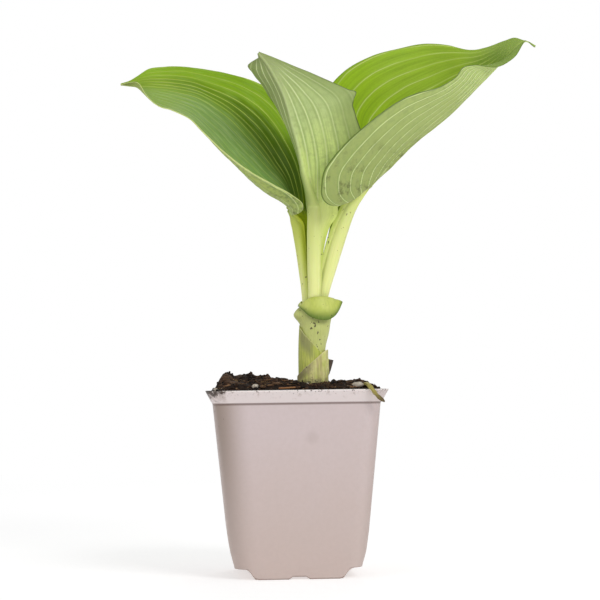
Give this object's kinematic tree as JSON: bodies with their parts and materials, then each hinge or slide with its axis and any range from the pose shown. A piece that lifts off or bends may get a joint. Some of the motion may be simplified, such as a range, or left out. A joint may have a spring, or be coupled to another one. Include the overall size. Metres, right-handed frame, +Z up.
{
  "type": "potted hosta plant",
  "caption": "Young hosta with ribbed green leaves on pale stalks wrapped in papery sheaths, growing in soil in a tapered square nursery pot.",
  "frame": {"origin": "middle of the round pad under the pot's base, at the level it stands on", "axes": "+Z up along the stem, +Y to the back of the plant, +X to the viewer's right; the two largest leaves spread along X"},
  "size_m": [0.2231, 0.0937, 0.2819],
  "materials": {
    "plastic": "greyish pink taupe injection-moulded polypropylene, fine satin texture",
    "soil": "dark moist peat and bark potting mix",
    "root": "pale fleshy crown and roots",
    "sheath": "satin green leaf sheath with purple-brown edges",
    "leaf": "waxy ribbed green upper side, pale matte grey-green underside",
    "bark": "rough dark bark",
    "grit": "pale crumbly grains",
    "dry_stem": "dry yellowish fibre"
  },
  "bodies": {
    "root": {"pot": "plastic", "soil": "soil", "crown_and_roots": "root", "sheath_lower": "sheath", "sheath_middle": "sheath", "sheath_collar": "sheath", "leaf_left": "leaf", "leaf_centre": "leaf", "leaf_right": "leaf", "bark_chip_1": "bark", "bark_chip_2": "bark", "bark_chip_3": "bark", "bark_chip_4": "bark", "bark_chip_5": "bark", "perlite_grain_1": "grit", "perlite_grain_2": "grit", "perlite_grain_3": "grit", "pebble": "grit", "straw": "dry_stem", "dry_stalk": "dry_stem"}
  },
  "joints": []
}
